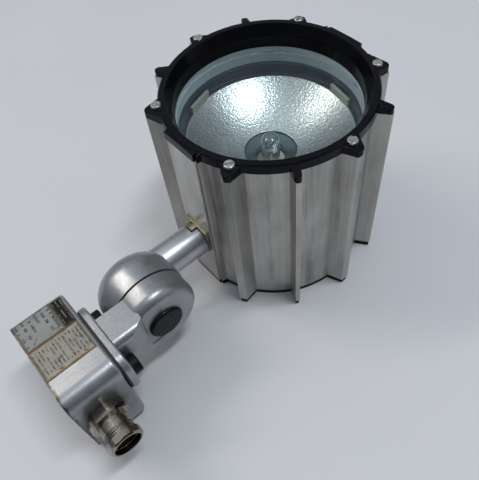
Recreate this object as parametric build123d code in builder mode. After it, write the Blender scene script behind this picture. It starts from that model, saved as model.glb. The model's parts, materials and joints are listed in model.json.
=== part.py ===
"""Sealed halogen machine work light: finned round head on a friction elbow and a terminal box.

Origin: centre of the box's mounting face.  +X points from the mounting face to the lamp head,
+Z is up when the light lies on a table on its box and on its rear cover.  Millimetres.
"""
import os
from math import cos, radians, sin

from build123d import *

os.makedirs("parts", exist_ok=True)

# ---------------------------------------------------------------- driving dimensions
BOX = 60.0                   # terminal box, width and height
BOX_DEPTH = 30.0             # mounting face to elbow side
BOX_WALL = 3.5
BOX_ROUND = 9.0              # long edges of the box
BOX_FRONT_ROUND = 2.0        # edges round the elbow side
PLATE_T = 2.0                # screwed back plate, let into the box
PLATE_SIDE = 56.8
PLATE_ROUND = 7.4
GASKET_T = 1.0
TABLE_Z = -BOX / 2

PIVOT_X, PIVOT_Z = 63.5, 10.5    # elbow axis, parallel to Y
SEAM_Y = 1.8                 # plane where the two elbow halves meet
DOME_R = 22.6
DOME_DEPTH = 24.0
DOME_ROUND = 13.0
DRUM_R = 22.0
DRUM_FACE_R = 15.4
DRUM_END_Y = -13.8
PIVOT_BOLT_R = 4.0
CAP_R = 10.0

NECK_Y = (-18.1, 1.2)
NECK_Z = (-0.4, 28.7)
NECK_ROUND, NECK_FAR_ROUND = 5.0, 1.6
FLANGE_Y, FLANGE_Z = -7.2, 14.3
FLANGE_LENGTH, FLANGE_HEIGHT, FLANGE_T = 48.0, 30.0, 3.8
FLANGE_ROUND = 11.3
FLANGE_SCREW_GAP = 33.0      # between the two M6 flange screws

GLAND_X, GLAND_Z = 12.8, 4.1
GLAND_HEX = 20.0             # M16 x 1.5 gland, across flats
GLAND_R = 8.0
GLAND_BORE_R = 5.5
CABLE_R = 4.5

TUBE_R, TUBE_BORE_R = 10.0, 7.5
HEAD_X, HEAD_Y = 168.5, 17.5     # lamp axis, parallel to Z; the arm tube has the same Y
HEAD_TOP = 86.0
RING_R = 56.5                # bezel ring
HOUSING_R, HOUSING_BORE_R = 55.0, 51.0
PAD_X = 57.3                 # flat pads on the two sides, from the lamp axis
PAD_HALF = 11.2
PORT_R = 57.35               # bezel screw circle
FIN_TIP_R = 63.6
BLADE_TIP_R = 64.0
BEZEL_SIDE = 5.5             # outer height of the bezel
BEZEL_SKIRT = 12.9           # bezel top to glass
BEZEL_TOP_BORE_R = 52.4
GLASS_SIGHT_R = 49.3
GLASS_R, GLASS_T = 50.4, 4.0
RIM_DEPTH = 31.0             # bezel top to reflector rim
REFLECTOR_RIM_R = 46.0
REFLECTOR_NECK_R = 15.0
REFLECTOR_FOCUS = 31.0
COVER_T = 3.0
GAP = 0.3                    # running gap between bodies

SCREW_ANGLES = (30, 90, 150, 210, 270, 330)
BLADE_ANGLES = (60, 120, 240, 300)
CLIP_ANGLES = (108, 228, 348)
POST_ANGLES = (60, 168, 300)


# ---------------------------------------------------------------- helpers
def save(part, name):
    part.label = name
    export_step(part, f"parts/{name}.step")


def polar(radius, angle):
    return radius * cos(radians(angle)), radius * sin(radians(angle))


def head_plane(depth):
    """Horizontal plane at a depth below the bezel's top, centred on the lamp axis."""
    return Plane(origin=(HEAD_X, HEAD_Y, HEAD_TOP - depth), x_dir=(1, 0, 0), z_dir=(0, 0, 1))


def side_plane(y, x=PIVOT_X, z=PIVOT_Z):
    """Vertical plane facing -Y."""
    return Plane(origin=(x, y, z), x_dir=(1, 0, 0), z_dir=(0, -1, 0))


def end_plane(x, y=0.0, z=0.0):
    """Vertical plane facing +X, local x along +Y."""
    return Plane(origin=(x, y, z), x_dir=(0, 1, 0), z_dir=(1, 0, 0))


def fin(angle, root_r, tip_r, root_half, tip_half):
    """Radial fin outline, added to the current sketch."""
    with Locations(Location((0, 0, 0), (0, 0, angle))):
        corners = [(root_r, -root_half), (tip_r, -tip_half), (tip_r, tip_half), (root_r, root_half)]
        Polygon(*corners, align=None)


def pad(angle, grow=0.0):
    """Flat pad with a small tooth beyond one end, as on the two sides of the housing."""
    with Locations(Location((0, 0, 0), (0, 0, angle))):
        face = PAD_X + grow
        Polygon((40, -PAD_HALF - 4), (face, -PAD_HALF), (face, PAD_HALF), (40, PAD_HALF + 4), align=None)
        tooth = [polar(RING_R - 5, 9.5), polar(RING_R + 1.6 + grow, 13.0), polar(RING_R - 5, 17)]
        Polygon(*tooth, align=None)


def housing_outline(grow=0.0):
    """Outline of the extruded housing: ring, six wedge fins, four blades and two flat pads."""
    Circle(HOUSING_R + grow)
    for angle in SCREW_ANGLES:
        fin(angle, 50, FIN_TIP_R + grow, 7.6 + grow, 2.3 + grow)
    for angle in BLADE_ANGLES:
        fin(angle, 50, BLADE_TIP_R + grow, 2.6 + grow, 1.3 + grow)
    for angle in (0, 180):
        pad(angle, grow)


def disc(plane, outer, inner, height):
    """Ring or disc standing on a plane, as a free-standing solid."""
    with BuildPart() as ring:
        with BuildSketch(plane):
            Circle(outer)
            if inner:
                Circle(inner, mode=Mode.SUBTRACT)
        extrude(amount=height)
    return ring.part


def slotted_screw(plane, head_r, head_h, shank_r, shank_l, slot_angle):
    """Slotted cheese-head screw whose head stands on the plane, shank below it."""
    with BuildPart() as screw:
        with BuildSketch(plane):
            Circle(head_r)
        extrude(amount=head_h)
        top_edges = screw.edges().filter_by(GeomType.CIRCLE).sort_by_distance(plane.from_local_coords((0, 0, head_h)))
        fillet(top_edges[0], head_h * 0.35)
        with BuildSketch(plane):
            Circle(shank_r)
        extrude(amount=-shank_l)
        with BuildSketch(plane.offset(head_h * 0.45)):
            Rectangle(head_r * 2.2, head_r * 0.34, rotation=slot_angle)
        extrude(amount=head_h, mode=Mode.SUBTRACT)
    return screw.part


def socket_screw(plane, head_r, head_h, shank_r, shank_l, key):
    """Socket-head cap screw, head on the plane."""
    with BuildPart() as screw:
        with BuildSketch(plane):
            Circle(head_r)
        extrude(amount=head_h)
        rim = screw.edges().filter_by(GeomType.CIRCLE).sort_by_distance(plane.from_local_coords((0, 0, head_h)))
        chamfer(rim[0], 0.5)
        with BuildSketch(plane):
            Circle(shank_r)
        extrude(amount=-shank_l)
        with BuildSketch(plane.offset(head_h * 0.4)):
            RegularPolygon(key / 2, 6, major_radius=False)
        extrude(amount=head_h, mode=Mode.SUBTRACT)
    return screw.part


def countersunk_screw(plane, head_r, shank_r, shank_l):
    """Cross-slot countersunk screw, flush with the plane, shank going against its normal."""
    head_h = head_r - shank_r
    with BuildPart() as screw:
        with BuildSketch(plane):
            Circle(head_r)
        extrude(amount=-head_h, taper=45)
        with BuildSketch(plane):
            Circle(shank_r)
        extrude(amount=-shank_l)
        with BuildSketch(plane.offset(-head_h * 0.6)):
            Rectangle(head_r * 1.1, head_r * 0.22)
            Rectangle(head_r * 0.22, head_r * 1.1)
        extrude(amount=head_h, mode=Mode.SUBTRACT)
    return screw.part


# ---------------------------------------------------------------- terminal box
HOUSING_X0 = PLATE_T + GASKET_T
MOUNT_GAP = 32.0             # four mounting holes, this far apart across and half as far up
BOX_SCREW_AT = 22.0          # plate screws, from the centre lines
BOSS_R = 4.5
box_corners = [(a, b) for a in (-BOX_SCREW_AT, BOX_SCREW_AT) for b in (-BOX_SCREW_AT, BOX_SCREW_AT)]


def back_plane(y, z):
    """Plane on the mounting face, facing away from the box."""
    return Plane(origin=(0, y, z), x_dir=(0, -1, 0), z_dir=(-1, 0, 0))


with BuildPart() as base_housing:
    with BuildSketch(end_plane(0)):
        RectangleRounded(BOX, BOX, BOX_ROUND)
    extrude(amount=BOX_DEPTH)
    front = base_housing.faces().sort_by(Axis.X)[-1]
    fillet(front.edges(), BOX_FRONT_ROUND)
    # rebate for the plate and its gasket, then the cavity behind it
    with BuildSketch(end_plane(0)):
        RectangleRounded(PLATE_SIDE + 0.2, PLATE_SIDE + 0.2, PLATE_ROUND + 0.1)
    extrude(amount=HOUSING_X0, mode=Mode.SUBTRACT)
    with BuildSketch(end_plane(HOUSING_X0)):
        RectangleRounded(BOX - 2 * BOX_WALL, BOX - 2 * BOX_WALL, BOX_ROUND - BOX_WALL)
    extrude(amount=BOX_DEPTH - HOUSING_X0 - BOX_WALL, mode=Mode.SUBTRACT)
    # screw bosses in the corners
    with BuildSketch(end_plane(HOUSING_X0)):
        with Locations(*box_corners):
            Circle(BOSS_R)
    extrude(amount=BOX_DEPTH - HOUSING_X0 - BOX_WALL)
    with BuildSketch(end_plane(HOUSING_X0)):
        with Locations(*box_corners):
            Circle(1.75)
    extrude(amount=14, mode=Mode.SUBTRACT)
    # lead-through and flange screw holes in the elbow side
    with BuildSketch(end_plane(BOX_DEPTH, FLANGE_Y, FLANGE_Z)):
        Circle(6.0)
        with GridLocations(FLANGE_SCREW_GAP, 1, 2, 1):
            Circle(3.0)
    extrude(amount=-BOX_WALL - 5, mode=Mode.SUBTRACT)
    # gland hole
    with BuildSketch(side_plane(-BOX / 2, GLAND_X, GLAND_Z)):
        Circle(GLAND_R)
    extrude(amount=-BOX_WALL, mode=Mode.SUBTRACT)
save(base_housing.part, "base_housing")

with BuildPart() as base_gasket:
    with BuildSketch(end_plane(PLATE_T)):
        RectangleRounded(PLATE_SIDE - 0.4, PLATE_SIDE - 0.4, PLATE_ROUND - 0.2)
        RectangleRounded(BOX - 2 * BOX_WALL, BOX - 2 * BOX_WALL, BOX_ROUND - BOX_WALL, mode=Mode.SUBTRACT)
        with Locations(*box_corners):
            Circle(BOSS_R)
        with Locations(*box_corners):
            Circle(2.2, mode=Mode.SUBTRACT)
    extrude(amount=GASKET_T)
save(base_gasket.part, "base_gasket")

with BuildPart() as base_plate:
    with BuildSketch(end_plane(0)):
        RectangleRounded(PLATE_SIDE, PLATE_SIDE, PLATE_ROUND)
    extrude(amount=PLATE_T)
    with BuildSketch(end_plane(0)):
        with GridLocations(MOUNT_GAP, MOUNT_GAP / 2, 2, 2):
            Circle(2.25)
    extrude(amount=PLATE_T, mode=Mode.SUBTRACT)
    for y, z in box_corners:
        with Locations(back_plane(y, z).location):
            CounterSinkHole(1.85, 3.5, PLATE_T)
save(base_plate.part, "base_plate")

screws = [countersunk_screw(back_plane(y, z), 3.4, 1.7, 14) for y, z in box_corners]
save(Compound(children=screws), "base_plate_screws")

TERMINAL_X, TERMINAL_Z = 6.0, -16.0
with BuildPart() as terminal_block:
    with BuildSketch(Plane(origin=(TERMINAL_X, 0, TERMINAL_Z), x_dir=(0, 1, 0), z_dir=(1, 0, 0))):
        Rectangle(30, 12)
    extrude(amount=BOX_DEPTH - BOX_WALL - TERMINAL_X)
    fillet(terminal_block.edges().filter_by(Axis.X), 1.0)
    with BuildSketch(end_plane(TERMINAL_X, 0, TERMINAL_Z)):
        with GridLocations(9, 6.4, 3, 2):
            Circle(1.9)
    extrude(amount=5, mode=Mode.SUBTRACT)
save(terminal_block.part, "terminal_block")

terminal_screws = []
for y in (-9, 0, 9):
    for z in (-3.2, 3.2):
        plane = Plane(origin=(TERMINAL_X + 3.4, y, TERMINAL_Z + z), x_dir=(0, 1, 0), z_dir=(-1, 0, 0))
        terminal_screws.append(slotted_screw(plane, 1.7, 1.4, 1.2, 1.5, 20))
save(Compound(children=terminal_screws), "terminal_screws")

earth_plane = Plane(origin=(BOX_DEPTH - BOX_WALL - 3, 12, 0.5), x_dir=(0, 1, 0), z_dir=(-1, 0, 0))
earth_screw = slotted_screw(earth_plane, 3.5, 2.4, 2.0, 3.0, 60)
save(earth_screw, "earth_screw")

# ---------------------------------------------------------------- gland
SLEEVE_L = 10.3
with BuildPart() as gland_body:
    with BuildSketch(side_plane(-BOX / 2, GLAND_X, GLAND_Z)):
        RegularPolygon(GLAND_HEX / 2, 6, major_radius=False, rotation=12)
    extrude(amount=6)
    with BuildSketch(side_plane(-BOX / 2, GLAND_X, GLAND_Z)):
        Circle(GLAND_HEX / 2 + 0.6)
    extrude(amount=6, mode=Mode.INTERSECT)
    with BuildSketch(side_plane(-BOX / 2 - 6, GLAND_X, GLAND_Z)):
        Circle(7.9)
    extrude(amount=SLEEVE_L)
    with BuildSketch(side_plane(-BOX / 2, GLAND_X, GLAND_Z)):
        Circle(GLAND_R - 0.05)
    extrude(amount=-BOX_WALL - 6)
    with BuildSketch(side_plane(-BOX / 2 + BOX_WALL + 6, GLAND_X, GLAND_Z)):
        Circle(GLAND_BORE_R)
    extrude(amount=BOX_WALL + 19.5, mode=Mode.SUBTRACT)
    with BuildSketch(side_plane(-BOX / 2 - 6.5, GLAND_X, GLAND_Z)):
        Circle(6.6)
    extrude(amount=SLEEVE_L - 0.5, mode=Mode.SUBTRACT)
    # thread grooves next to the cap nut
    for groove in (6.4, 7.7, 9.0):
        with BuildSketch(side_plane(-BOX / 2 - 6 - groove, GLAND_X, GLAND_Z)):
            Circle(8.2)
            Circle(7.35, mode=Mode.SUBTRACT)
        extrude(amount=0.6, mode=Mode.SUBTRACT)
save(gland_body.part, "gland_body")

gland_o_ring = disc(side_plane(-BOX / 2 + BOX_WALL + 0.6, GLAND_X, GLAND_Z), 9.6, GLAND_R, 0.6)
save(gland_o_ring, "gland_o_ring")

with BuildPart() as gland_locknut:
    with BuildSketch(side_plane(-BOX / 2 + BOX_WALL + 0.6, GLAND_X, GLAND_Z)):
        RegularPolygon(9.5, 6, major_radius=False, rotation=30)
        Circle(GLAND_R, mode=Mode.SUBTRACT)
    extrude(amount=-3.5)
save(gland_locknut.part, "gland_locknut")

SEAL_Y = -BOX / 2 - 7.0
gland_seal = disc(side_plane(SEAL_Y, GLAND_X, GLAND_Z), 6.55, CABLE_R, 8.0)
save(gland_seal, "gland_seal")

CAP_NUT_Y, CAP_NUT_L = -BOX / 2 - 6 - SLEEVE_L, 4.2
with BuildPart() as gland_cap_nut:
    with BuildSketch(side_plane(CAP_NUT_Y, GLAND_X, GLAND_Z)):
        Circle(9.1)
    extrude(amount=CAP_NUT_L)
    chamfer(gland_cap_nut.edges().filter_by(GeomType.CIRCLE).sort_by(Axis.Y)[0], 0.9)
    with BuildSketch(side_plane(CAP_NUT_Y + 0.1, GLAND_X, GLAND_Z)):
        RegularPolygon(8.75, 6, major_radius=False, rotation=12)
    extrude(amount=CAP_NUT_L + 0.2, mode=Mode.INTERSECT)
    with BuildSketch(side_plane(CAP_NUT_Y, GLAND_X, GLAND_Z)):
        Circle(7.3)
    extrude(amount=CAP_NUT_L, mode=Mode.SUBTRACT)
    with BuildSketch(side_plane(CAP_NUT_Y, GLAND_X, GLAND_Z)):
        Circle(7.6)
        Circle(6.7, mode=Mode.SUBTRACT)
    extrude(amount=1.0)
save(gland_cap_nut.part, "gland_cap_nut")

# ---------------------------------------------------------------- labels on the box
LABEL_T = 0.12
LABEL_X = (0.6, 21.6, 28.0)      # mounting face edge, header split, elbow side edge
LABEL_Y = (-12.3, 7.0, 26.5)     # near edge, split between the two leaves, far edge


def label(name, x0, x1, y0, y1):
    """Thin leaf on the box's top, following its rounded edge."""
    with BuildPart() as sheet:
        with BuildSketch(end_plane(x0)):
            RectangleRounded(BOX + 2 * LABEL_T, BOX + 2 * LABEL_T, BOX_ROUND + LABEL_T)
            RectangleRounded(BOX, BOX, BOX_ROUND, mode=Mode.SUBTRACT)
            with Locations(((y0 + y1) / 2, BOX / 2)):
                Rectangle(y1 - y0, BOX / 2, mode=Mode.INTERSECT)
        extrude(amount=x1 - x0)
    save(sheet.part, name)


label("rating_label", LABEL_X[0], LABEL_X[1], LABEL_Y[1], LABEL_Y[2])
label("header_label", LABEL_X[1] + 0.1, LABEL_X[2], LABEL_Y[1], LABEL_Y[2] - 1.0)
label("information_label", LABEL_X[0], LABEL_X[2], LABEL_Y[0], LABEL_Y[1] - 0.1)

# ---------------------------------------------------------------- elbow, box side
FLANGE_X0 = BOX_DEPTH + GASKET_T
FLANGE_X1 = FLANGE_X0 + FLANGE_T

with BuildPart() as flange_gasket:
    with BuildSketch(end_plane(BOX_DEPTH, FLANGE_Y, FLANGE_Z)):
        RectangleRounded(FLANGE_LENGTH - 1.2, FLANGE_HEIGHT - 1.2, FLANGE_ROUND - 0.6)
        Circle(6.5, mode=Mode.SUBTRACT)
        with GridLocations(FLANGE_SCREW_GAP, 1, 2, 1):
            Circle(3.2, mode=Mode.SUBTRACT)
    extrude(amount=GASKET_T)
save(flange_gasket.part, "flange_gasket")

NECK_MID_Y, NECK_MID_Z = sum(NECK_Y) / 2, sum(NECK_Z) / 2
DRUM_Y0 = SEAM_Y - 0.6
with BuildPart() as elbow_base_half:
    with BuildSketch(side_plane(DRUM_Y0)):
        Circle(DRUM_R)
    extrude(amount=DRUM_Y0 - DRUM_END_Y)
    fillet(elbow_base_half.edges().filter_by(GeomType.CIRCLE).sort_by(Axis.Y)[0], DRUM_R - DRUM_FACE_R)
    with BuildSketch(end_plane(FLANGE_X0, FLANGE_Y, FLANGE_Z)):
        RectangleRounded(FLANGE_LENGTH, FLANGE_HEIGHT, FLANGE_ROUND)
    extrude(amount=FLANGE_T)
    fillet(elbow_base_half.edges().group_by(Axis.X)[2], 1.2)
    with BuildSketch(end_plane(FLANGE_X0 + 1, NECK_MID_Y, NECK_MID_Z)):
        neck = Rectangle(NECK_Y[1] - NECK_Y[0], NECK_Z[1] - NECK_Z[0])
        fillet(neck.vertices().group_by(Axis.X)[0], NECK_ROUND)
        fillet(neck.vertices().group_by(Axis.X)[-1], NECK_FAR_ROUND)
    extrude(amount=PIVOT_X - FLANGE_X0 - 12)
    # the neck's -Y side slopes in to the end of the drum
    with BuildSketch(Plane.XY.offset(NECK_Z[0] - 1)):
        slope = [(PIVOT_X - 20, NECK_Y[0]), (PIVOT_X - 20, NECK_Y[0] - 1), (PIVOT_X, NECK_Y[0] - 1)]
        Polygon(*slope, (PIVOT_X, DRUM_END_Y + 0.4), (PIVOT_X - 11, DRUM_END_Y + 0.4), align=None)
    extrude(amount=NECK_Z[1] - NECK_Z[0] + 2, mode=Mode.SUBTRACT)
    # pivot bore, spring recess under the cap, wire path and flange screw holes
    with BuildSketch(side_plane(DRUM_Y0)):
        Circle(PIVOT_BOLT_R + 0.3)
    extrude(amount=DRUM_Y0 - DRUM_END_Y, mode=Mode.SUBTRACT)
    with BuildSketch(side_plane(DRUM_END_Y)):
        Circle(8.6)
    extrude(amount=-9.0, mode=Mode.SUBTRACT)
    with BuildSketch(side_plane(DRUM_Y0)):
        Circle(15.0)
        Circle(8.0, mode=Mode.SUBTRACT)
    extrude(amount=4.0, mode=Mode.SUBTRACT)
    with BuildSketch(end_plane(FLANGE_X0, FLANGE_Y, FLANGE_Z)):
        Circle(5.0)
    extrude(amount=PIVOT_X - FLANGE_X0 - 10.5, mode=Mode.SUBTRACT)
    with BuildSketch(side_plane(DRUM_Y0, PIVOT_X - 13.0, FLANGE_Z)):
        Circle(4.0)
    extrude(amount=DRUM_Y0 - FLANGE_Y, mode=Mode.SUBTRACT)
    with BuildSketch(end_plane(FLANGE_X0, FLANGE_Y, FLANGE_Z)):
        with GridLocations(FLANGE_SCREW_GAP, 1, 2, 1):
            Circle(3.2)
    extrude(amount=FLANGE_T, mode=Mode.SUBTRACT)
save(elbow_base_half.part, "elbow_base_half")

flange_screws = []
for side in (-1, 1):
    plane = end_plane(FLANGE_X1, FLANGE_Y + side * FLANGE_SCREW_GAP / 2, FLANGE_Z)
    flange_screws.append(socket_screw(plane, 5.2, 4.8, 2.95, FLANGE_T + GASKET_T + BOX_WALL + 1, 4.0))
save(Compound(children=flange_screws), "flange_screws")

friction_disc = disc(side_plane(DRUM_Y0 + 0.6), DRUM_R - 1.4, 15.4, 0.6)
save(friction_disc, "friction_disc")

# ---------------------------------------------------------------- elbow, arm side
DOME_Y0 = SEAM_Y + 0.3
with BuildPart() as elbow_arm_half:
    with BuildSketch(side_plane(DOME_Y0)):
        Circle(DOME_R)
    extrude(amount=-DOME_DEPTH)
    outer = elbow_arm_half.edges().filter_by(GeomType.CIRCLE).sort_by(Axis.Y)[-1]
    fillet(outer, DOME_ROUND)
    with BuildSketch(side_plane(DOME_Y0)):
        Circle(15.0)
        Circle(7.0, mode=Mode.SUBTRACT)
    extrude(amount=-4.0, mode=Mode.SUBTRACT)
    with BuildSketch(side_plane(DOME_Y0)):
        Circle(PIVOT_BOLT_R)
    extrude(amount=-10.0, mode=Mode.SUBTRACT)
    # socket for the arm tube and the wire path into it
    with BuildSketch(end_plane(PIVOT_X + 12, HEAD_Y, PIVOT_Z)):
        Circle(TUBE_R)
    extrude(amount=DOME_R, mode=Mode.SUBTRACT)
    with BuildSketch(side_plane(DOME_Y0, PIVOT_X + 11.0)):
        Circle(3.4)
    extrude(amount=-HEAD_Y + DOME_Y0 - 2, mode=Mode.SUBTRACT)
    with BuildSketch(end_plane(PIVOT_X + 9, HEAD_Y, PIVOT_Z)):
        Circle(4.0)
    extrude(amount=4, mode=Mode.SUBTRACT)
save(elbow_arm_half.part, "elbow_arm_half")

# ---------------------------------------------------------------- pivot bolt, springs, nut, cap
NUT_Y = DRUM_END_Y + 9.0
with BuildPart() as pivot_bolt:
    with BuildSketch(side_plane(DOME_Y0 + 9.9)):
        Circle(PIVOT_BOLT_R - 0.05)
    extrude(amount=DOME_Y0 + 9.9 - DRUM_END_Y - 1.0)
save(pivot_bolt.part, "pivot_bolt")

springs = []
for k in range(2):
    springs.append(disc(side_plane(NUT_Y - 1.0 * k), 8.0, 4.2, 0.9))
save(Compound(children=springs), "pivot_disc_springs")

with BuildPart() as pivot_nut:
    with BuildSketch(side_plane(NUT_Y - 2.0)):
        RegularPolygon(6.5, 6, major_radius=False)
        Circle(PIVOT_BOLT_R, mode=Mode.SUBTRACT)
    extrude(amount=4.5)
save(pivot_nut.part, "pivot_nut")

with BuildPart() as pivot_cap:
    with BuildSketch(side_plane(DRUM_END_Y)):
        Circle(CAP_R)
    extrude(amount=1.9)
    fillet(pivot_cap.edges().filter_by(GeomType.CIRCLE).sort_by(Axis.Y)[0], 1.5)
    with BuildSketch(side_plane(DRUM_END_Y)):
        Circle(8.5)
        Circle(7.7, mode=Mode.SUBTRACT)
    extrude(amount=-2.4)
save(pivot_cap.part, "pivot_cap")

# ---------------------------------------------------------------- arm tube
WALL_X = HEAD_X - PAD_X          # outer face of the housing pad that carries the arm
STOP_T = 1.6
TUBE_X0, TUBE_X1 = PIVOT_X + 12, WALL_X - STOP_T - GAP
STEP_L, STEP_AT, STEP_SWEEP = 4.0, 99.0, 250.0   # relief in the tube's end for the stop tab
TAB_SWEEP, TAB_GAP = 34.0, 2.0                   # angles run from +Y towards +Z


def sector(outer, inner, start, sweep):
    """Ring sector in the current sketch, starting at an angle and running clockwise."""
    steps = 12
    angles = [start - sweep * k / steps for k in range(steps + 1)]
    points = [polar(outer, angle) for angle in angles] + [polar(inner, angle) for angle in reversed(angles)]
    Polygon(*points, align=None)


with BuildPart() as arm_tube:
    with BuildSketch(end_plane(TUBE_X0, HEAD_Y, PIVOT_Z)):
        Circle(TUBE_R)
        Circle(TUBE_BORE_R, mode=Mode.SUBTRACT)
    extrude(amount=TUBE_X1 - TUBE_X0)
    with BuildSketch(end_plane(TUBE_X1, HEAD_Y, PIVOT_Z)):
        sector(TUBE_R + 2, TUBE_BORE_R - 2, STEP_AT, STEP_SWEEP / 2)
        sector(TUBE_R + 2, TUBE_BORE_R - 2, STEP_AT - STEP_SWEEP / 2, STEP_SWEEP / 2)
    extrude(amount=-STEP_L, mode=Mode.SUBTRACT)
save(arm_tube.part, "arm_tube")

# ---------------------------------------------------------------- swivel between arm and head
SPIGOT_R = TUBE_BORE_R - 0.06
STOP_SIDE, STOP_TOP, STOP_RISE = 20.0, 11.5, 14.0
STOP_R = 10.8
with BuildPart() as stop_plate:
    with BuildSketch(end_plane(WALL_X - STOP_T, HEAD_Y, PIVOT_Z)):
        Circle(STOP_R)
        with Locations((0, STOP_TOP - STOP_RISE / 2)):
            RectangleRounded(STOP_SIDE, STOP_RISE, 1.5)
        Circle(SPIGOT_R + 0.1, mode=Mode.SUBTRACT)
    extrude(amount=STOP_T)
    with BuildSketch(end_plane(WALL_X - STOP_T, HEAD_Y, PIVOT_Z)):
        sector(TUBE_R + 1.2, SPIGOT_R + 0.3, STEP_AT - TAB_GAP, TAB_SWEEP)
    extrude(amount=-(STEP_L - GAP))
save(stop_plate.part, "stop_plate")

SPIGOT_L = 22.0
with BuildPart() as swivel_spigot:
    with BuildSketch(end_plane(WALL_X - STOP_T - SPIGOT_L, HEAD_Y, PIVOT_Z)):
        Circle(SPIGOT_R)
    extrude(amount=SPIGOT_L + STOP_T)
    with BuildSketch(end_plane(WALL_X, HEAD_Y, PIVOT_Z)):
        Circle(6.95)
    extrude(amount=PAD_X - HOUSING_BORE_R + 6)
    with BuildSketch(end_plane(WALL_X - STOP_T - SPIGOT_L, HEAD_Y, PIVOT_Z)):
        Circle(4.5)
    extrude(amount=SPIGOT_L + STOP_T + PAD_X, mode=Mode.SUBTRACT)
save(swivel_spigot.part, "swivel_spigot")

NUT_SEAT_X = HEAD_X - HOUSING_BORE_R - 1.0
with BuildPart() as spigot_nut:
    with BuildSketch(end_plane(NUT_SEAT_X, HEAD_Y, PIVOT_Z)):
        RegularPolygon(10, 6, major_radius=False)
        Circle(7.0, mode=Mode.SUBTRACT)
    extrude(amount=4.0)
save(spigot_nut.part, "spigot_nut")

# ---------------------------------------------------------------- head shell
HEAD_BOTTOM = HEAD_TOP - TABLE_Z         # depth of the surface the head stands on
COVER_TOP = HEAD_BOTTOM - COVER_T
SHELL_BOTTOM = COVER_TOP - GASKET_T
PORT_HOLE_R = 1.7

with BuildPart() as head_housing:
    with BuildSketch(head_plane(SHELL_BOTTOM)):
        housing_outline()
        Circle(HOUSING_BORE_R, mode=Mode.SUBTRACT)
    extrude(amount=SHELL_BOTTOM - BEZEL_SIDE)
    with BuildSketch(head_plane(SHELL_BOTTOM)):
        with PolarLocations(PORT_R, 6, 30):
            Circle(PORT_HOLE_R)
    extrude(amount=SHELL_BOTTOM - BEZEL_SIDE, mode=Mode.SUBTRACT)
    with BuildSketch(end_plane(WALL_X, HEAD_Y, PIVOT_Z)):
        Circle(7.0)
    extrude(amount=PAD_X - HOUSING_BORE_R + 4, mode=Mode.SUBTRACT)
    # seat for the arm nut
    with BuildSketch(end_plane(NUT_SEAT_X, HEAD_Y, PIVOT_Z)):
        Circle(12.0)
    extrude(amount=8.0, mode=Mode.SUBTRACT)
save(head_housing.part, "head_housing")

# ---------------------------------------------------------------- bezel and front glass
with BuildPart() as bezel:
    with BuildSketch(head_plane(BEZEL_SIDE)):
        Circle(RING_R)
        for angle in SCREW_ANGLES:
            fin(angle, 50, FIN_TIP_R - 1.8, 8.4, 2.6)
            with Locations(polar(FIN_TIP_R - 2.6, angle)):
                Circle(2.7)
        for angle in BLADE_ANGLES:
            fin(angle, 50, BLADE_TIP_R - 2.0, 3.0, 1.8)
            with Locations(polar(BLADE_TIP_R - 2.2, angle)):
                Circle(1.9)
        for angle in (0, 180):
            pad(angle, 0.5)
            with Locations(Location((0, 0, 0), (0, 0, angle))):
                wedge = [polar(RING_R - 4, -14), polar(FIN_TIP_R, -28.5), polar(FIN_TIP_R - 1, -31), polar(50, -36)]
                Polygon(*wedge, align=None)
    extrude(amount=BEZEL_SIDE)
    top = bezel.faces().sort_by(Axis.Z)[-1]
    chamfer(top.outer_wire().edges(), 0.7)
    # the tabs slope down from the ring
    with BuildSketch(Plane(origin=(HEAD_X, HEAD_Y, HEAD_TOP), x_dir=(1, 0, 0), z_dir=(0, -1, 0))):
        Polygon((RING_R + 0.1, 1), (RING_R + 0.1, -0.6), (FIN_TIP_R + 2, -2.6), (FIN_TIP_R + 2, 1), align=None)
    revolve(axis=Axis((HEAD_X, HEAD_Y, 0), (0, 0, 1)), mode=Mode.SUBTRACT)
    with BuildSketch(head_plane(BEZEL_SKIRT)):
        Circle(HOUSING_BORE_R - 0.2)
    extrude(amount=BEZEL_SKIRT - BEZEL_SIDE)
    # tapering bore down to the glass, with a small step half way
    with BuildSketch(Plane(origin=(HEAD_X, HEAD_Y, HEAD_TOP), x_dir=(1, 0, 0), z_dir=(0, -1, 0))):
        with BuildLine():
            Polyline(
                (0, 1), (BEZEL_TOP_BORE_R + 1, 1), (BEZEL_TOP_BORE_R, -0.8),
                (BEZEL_TOP_BORE_R - 2.4, -BEZEL_SIDE), (GLASS_SIGHT_R + 0.5, -BEZEL_SIDE - 0.6),
                (GLASS_SIGHT_R, -BEZEL_SKIRT - 1), (0, -BEZEL_SKIRT - 1), (0, 1),
            )
        make_face()
    revolve(axis=Axis((HEAD_X, HEAD_Y, 0), (0, 0, 1)), mode=Mode.SUBTRACT)
    # screw holes with shallow spot faces
    with BuildSketch(head_plane(BEZEL_SIDE)):
        with PolarLocations(PORT_R, 6, 30):
            Circle(2.1)
    extrude(amount=BEZEL_SIDE, mode=Mode.SUBTRACT)
    with BuildSketch(head_plane(0.8)):
        with PolarLocations(PORT_R, 6, 30):
            Circle(2.95)
    extrude(amount=BEZEL_SIDE, mode=Mode.SUBTRACT)
save(bezel.part, "bezel")

SLOT_TURNS = (20, 65, 110, 150, 35, 80)
bezel_screws = []
for angle, turn in zip(SCREW_ANGLES, SLOT_TURNS):
    x, y = polar(PORT_R, angle)
    plane = Plane(origin=(HEAD_X + x, HEAD_Y + y, HEAD_TOP - 0.8), x_dir=(1, 0, 0), z_dir=(0, 0, 1))
    bezel_screws.append(slotted_screw(plane, 2.7, 1.5, PORT_HOLE_R - 0.05, 18, turn))
save(Compound(children=bezel_screws), "bezel_screws")

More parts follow.
